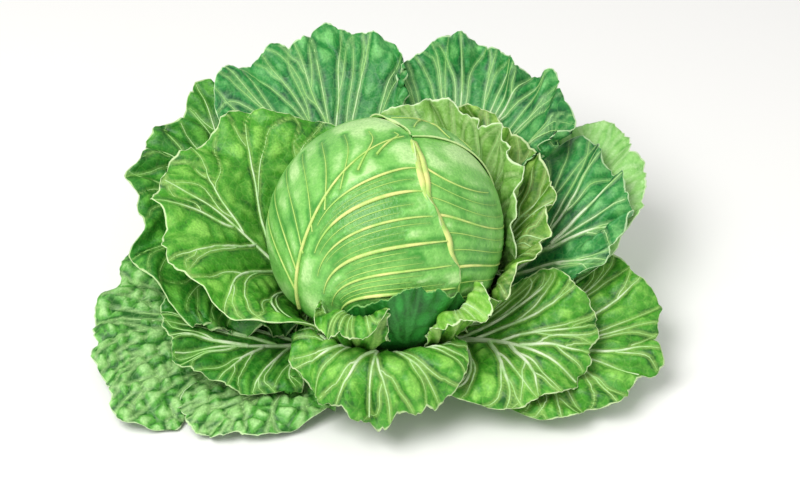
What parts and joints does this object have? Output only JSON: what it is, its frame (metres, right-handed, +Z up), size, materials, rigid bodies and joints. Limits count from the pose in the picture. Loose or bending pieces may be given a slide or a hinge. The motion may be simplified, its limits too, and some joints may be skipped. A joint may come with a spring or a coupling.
{
  "type": "cabbage head with wrapper leaves",
  "caption": "Round, tightly folded cabbage head standing on its cut stalk, with the frilled wrapper leaves it grew in spread in a rosette round it.",
  "frame": {"origin": "centre of the stalk's flat cut face, which the part rests on", "axes": "+Z up along the stalk and through the middle of the head, -Y towards the front where the wrapper leaves droop lowest, +X to the right seen from the front"},
  "size_m": [0.4071, 0.2982, 0.1788],
  "materials": {
    "stalk": "pale fibrous stem, dry cut face below",
    "head": "waxy pale green leaf with yellow-green ribs",
    "left_head_leaf": "waxy pale green leaf with yellow-green ribs",
    "back_head_leaf": "waxy pale green leaf with yellow-green ribs",
    "front_cup_leaf": "puckered green leaf with pale ribs and a frilled pale margin",
    "back_cup_leaf": "puckered green leaf with pale ribs and a frilled pale margin",
    "left_cup_leaf": "puckered green leaf with pale ribs and a frilled pale margin",
    "right_cup_leaf": "puckered green leaf with pale ribs and a frilled pale margin",
    "front_left_curl_leaf": "puckered green leaf with pale ribs and a frilled pale margin",
    "front_right_curl_leaf": "puckered green leaf with pale ribs and a frilled pale margin",
    "back_left_leaf": "puckered green leaf with pale ribs and a frilled pale margin",
    "front_leaf": "puckered green leaf with pale ribs and a frilled pale margin",
    "back_right_leaf": "puckered green leaf with pale ribs and a frilled pale margin",
    "left_leaf": "puckered green leaf with pale ribs and a frilled pale margin",
    "front_right_leaf": "puckered green leaf with pale ribs and a frilled pale margin",
    "right_leaf": "puckered green leaf with pale ribs and a frilled pale margin",
    "front_left_leaf": "puckered green leaf with pale ribs and a frilled pale margin",
    "right_back_outer_leaf": "blistered green leaf with pale ribs and a thin pale margin",
    "back_outer_leaf": "blistered green leaf with pale ribs and a thin pale margin",
    "front_outer_leaf": "blistered green leaf with pale ribs and a thin pale margin",
    "left_outer_leaf": "blistered green leaf with pale ribs and a thin pale margin",
    "right_outer_leaf": "blistered green leaf with pale ribs and a thin pale margin"
  },
  "bodies": {
    "root": {"stalk": "stalk", "head": "head", "left_head_leaf": "left_head_leaf", "back_head_leaf": "back_head_leaf", "front_cup_leaf": "front_cup_leaf", "back_cup_leaf": "back_cup_leaf", "left_cup_leaf": "left_cup_leaf", "right_cup_leaf": "right_cup_leaf", "front_left_curl_leaf": "front_left_curl_leaf", "front_right_curl_leaf": "front_right_curl_leaf", "back_left_leaf": "back_left_leaf", "front_leaf": "front_leaf", "back_right_leaf": "back_right_leaf", "left_leaf": "left_leaf", "front_right_leaf": "front_right_leaf", "right_leaf": "right_leaf", "front_left_leaf": "front_left_leaf", "right_back_outer_leaf": "right_back_outer_leaf", "back_outer_leaf": "back_outer_leaf", "front_outer_leaf": "front_outer_leaf", "left_outer_leaf": "left_outer_leaf", "right_outer_leaf": "right_outer_leaf"}
  },
  "joints": []
}
